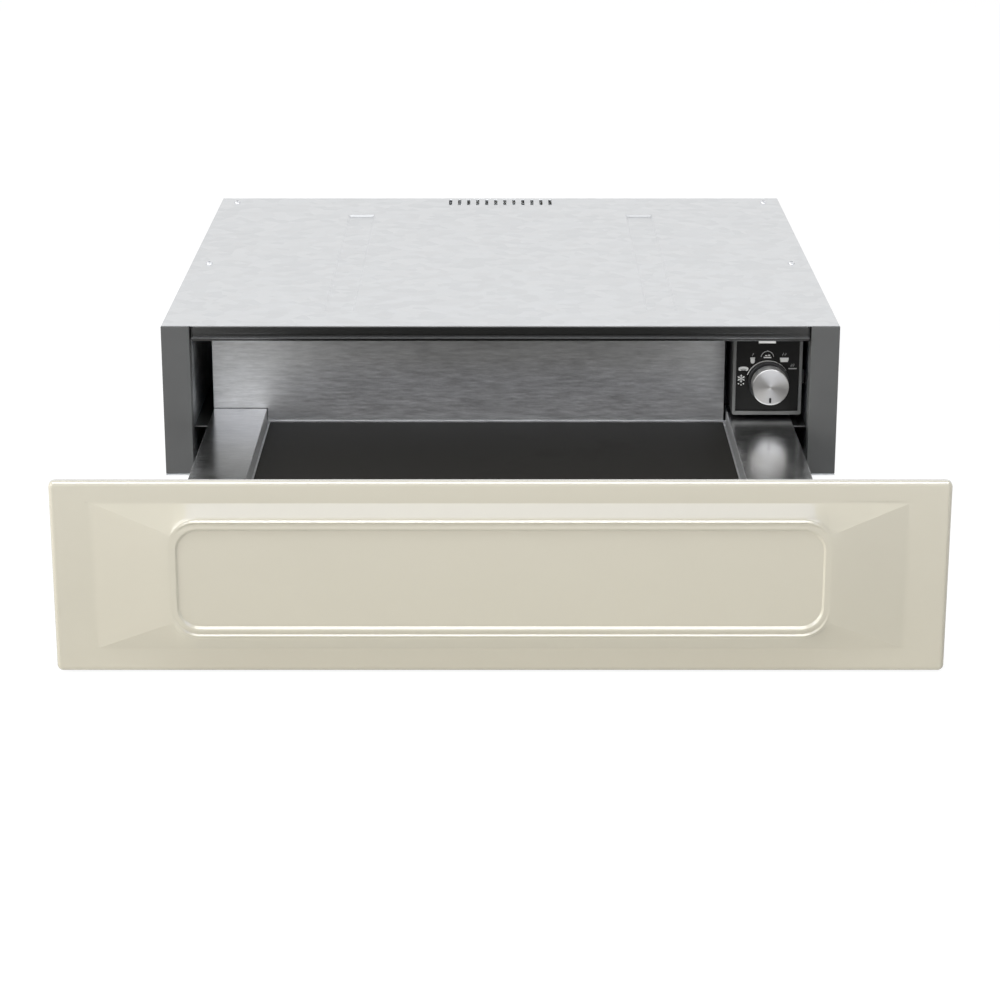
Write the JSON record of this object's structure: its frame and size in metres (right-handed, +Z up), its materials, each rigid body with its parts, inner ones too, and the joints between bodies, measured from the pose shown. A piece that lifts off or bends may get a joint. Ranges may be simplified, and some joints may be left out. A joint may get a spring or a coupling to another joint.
{
  "type": "built-in warming drawer",
  "caption": "Built-in warming drawer with a pressed front, telescopic runners, heated tray and a control knob, for keeping dishes and plates warm.",
  "frame": {"origin": "middle of the casing's footprint, on the surface it stands on; the body's front plane is at y = -0.265", "axes": "+Z up, +Y to the rear, +X to the right seen from the front; drawn with the drawer fully open towards -Y"},
  "size_m": [0.597, 0.9893, 0.1345],
  "materials": {
    "cream_enamel": "glossy vitreous enamel, cream",
    "dark_paint": "satin powder coat, dark grey",
    "zinc_sheet": "zinc-coated sheet steel",
    "brushed_steel": "brushed stainless steel",
    "runner_steel": "bright zinc-plated steel",
    "ball_steel": "polished steel balls in a steel cage",
    "silicone_mat": "matte silicone mat, dark grey",
    "mineral_wool": "mineral wool",
    "black_plastic": "black heat-resistant plastic",
    "black_fascia": "smooth black fascia with printed symbols",
    "spun_metal": "radially spun aluminium",
    "white_lens": "white light bar",
    "gasket_rubber": "silicone rubber gasket",
    "white_plastic": "pale engineering plastic",
    "heater_sheath": "heat-darkened steel sheath"
  },
  "bodies": {
    "cabinet": {"front_post_left": "dark_paint", "front_post_right": "dark_paint", "top_rail": "dark_paint", "casing_base": "zinc_sheet", "casing_side_left": "zinc_sheet", "casing_side_right": "zinc_sheet", "casing_top": "zinc_sheet", "casing_rear": "zinc_sheet", "liner_floor": "zinc_sheet", "liner_shell": "zinc_sheet", "liner_back": "zinc_sheet", "runner_bracket_left": "zinc_sheet", "runner_bracket_right": "zinc_sheet", "blower_scroll": "zinc_sheet", "runner_outer_left": "runner_steel", "runner_outer_right": "runner_steel", "blower_motor": "runner_steel", "temperature_sensor": "runner_steel", "insulation_blanket": "mineral_wool", "insulation_floor": "mineral_wool", "control_housing": "black_plastic", "control_bezel": "black_plastic", "safety_cutout": "black_plastic", "cable_gland": "black_plastic", "latch_housing": "black_plastic", "reed_switch": "black_plastic", "control_fascia": "black_fascia", "indicator_lens": "white_lens", "selector_switch": "white_plastic", "terminal_block": "white_plastic", "heater_element": "heater_sheath"},
    "drawer": {"front_skin": "cream_enamel", "front_liner": "dark_paint", "front_insulation": "mineral_wool", "front_gasket": "gasket_rubber", "front_bracket_left": "zinc_sheet", "front_bracket_right": "zinc_sheet", "tray_side_left": "zinc_sheet", "tray_side_right": "zinc_sheet", "tray_pan": "brushed_steel", "tray_ledge_left": "brushed_steel", "tray_ledge_right": "brushed_steel", "tray_back_wall": "brushed_steel", "mat": "silicone_mat", "runner_inner_left": "runner_steel", "runner_inner_right": "runner_steel", "latch_striker": "white_plastic", "door_magnet": "black_plastic"},
    "runner_middle_left": {"runner_middle_left": "runner_steel"},
    "ball_cage_outer_left": {"ball_cage_outer_left": "ball_steel"},
    "ball_cage_inner_left": {"ball_cage_inner_left": "ball_steel"},
    "runner_middle_right": {"runner_middle_right": "runner_steel"},
    "ball_cage_outer_right": {"ball_cage_outer_right": "ball_steel"},
    "ball_cage_inner_right": {"ball_cage_inner_right": "ball_steel"},
    "knob": {"knob": "black_plastic", "knob_cap": "spun_metal"},
    "blower_rotor": {"blower_rotor": "runner_steel"},
    "latch_carriage": {"latch_carriage": "white_plastic"}
  },
  "joints": [
    {"name": "drawer_slide", "type": "slide", "parent": "cabinet", "child": "drawer", "axis": [0, -1, 0], "range_m": [-0.428, 0]},
    {"name": "runner_middle_left_slide", "type": "slide", "parent": "cabinet", "child": "runner_middle_left", "axis": [0, -1, 0], "range_m": [-0.214, 0]},
    {"name": "ball_cage_outer_left_slide", "type": "slide", "parent": "cabinet", "child": "ball_cage_outer_left", "axis": [0, -1, 0], "range_m": [-0.107, 0]},
    {"name": "ball_cage_inner_left_slide", "type": "slide", "parent": "cabinet", "child": "ball_cage_inner_left", "axis": [0, -1, 0], "range_m": [-0.321, 0]},
    {"name": "runner_middle_right_slide", "type": "slide", "parent": "cabinet", "child": "runner_middle_right", "axis": [0, -1, 0], "range_m": [-0.214, 0]},
    {"name": "ball_cage_outer_right_slide", "type": "slide", "parent": "cabinet", "child": "ball_cage_outer_right", "axis": [0, -1, 0], "range_m": [-0.107, 0]},
    {"name": "ball_cage_inner_right_slide", "type": "slide", "parent": "cabinet", "child": "ball_cage_inner_right", "axis": [0, -1, 0], "range_m": [-0.321, 0]},
    {"name": "knob_turn", "type": "hinge", "parent": "cabinet", "child": "knob", "pos_m": [0.2227, -0.245, 0.075], "axis": [0, 1, 0], "range_deg": [0, 240]},
    {"name": "blower_spin", "type": "hinge", "parent": "cabinet", "child": "blower_rotor", "pos_m": [0, 0.2447, 0.0955], "axis": [1, 0, 0], "continuous": true},
    {"name": "latch_push", "type": "slide", "parent": "cabinet", "child": "latch_carriage", "axis": [0, 1, 0], "range_m": [0, 0.006], "stiffness_N_per_m": 400, "springref_m": -0.002}
  ],
  "couplings": [
    {"joint": "runner_middle_left_slide", "follows": "drawer_slide", "ratio": 0.5},
    {"joint": "ball_cage_outer_left_slide", "follows": "drawer_slide", "ratio": 0.25},
    {"joint": "ball_cage_inner_left_slide", "follows": "drawer_slide", "ratio": 0.75},
    {"joint": "runner_middle_right_slide", "follows": "drawer_slide", "ratio": 0.5},
    {"joint": "ball_cage_outer_right_slide", "follows": "drawer_slide", "ratio": 0.25},
    {"joint": "ball_cage_inner_right_slide", "follows": "drawer_slide", "ratio": 0.75}
  ]
}
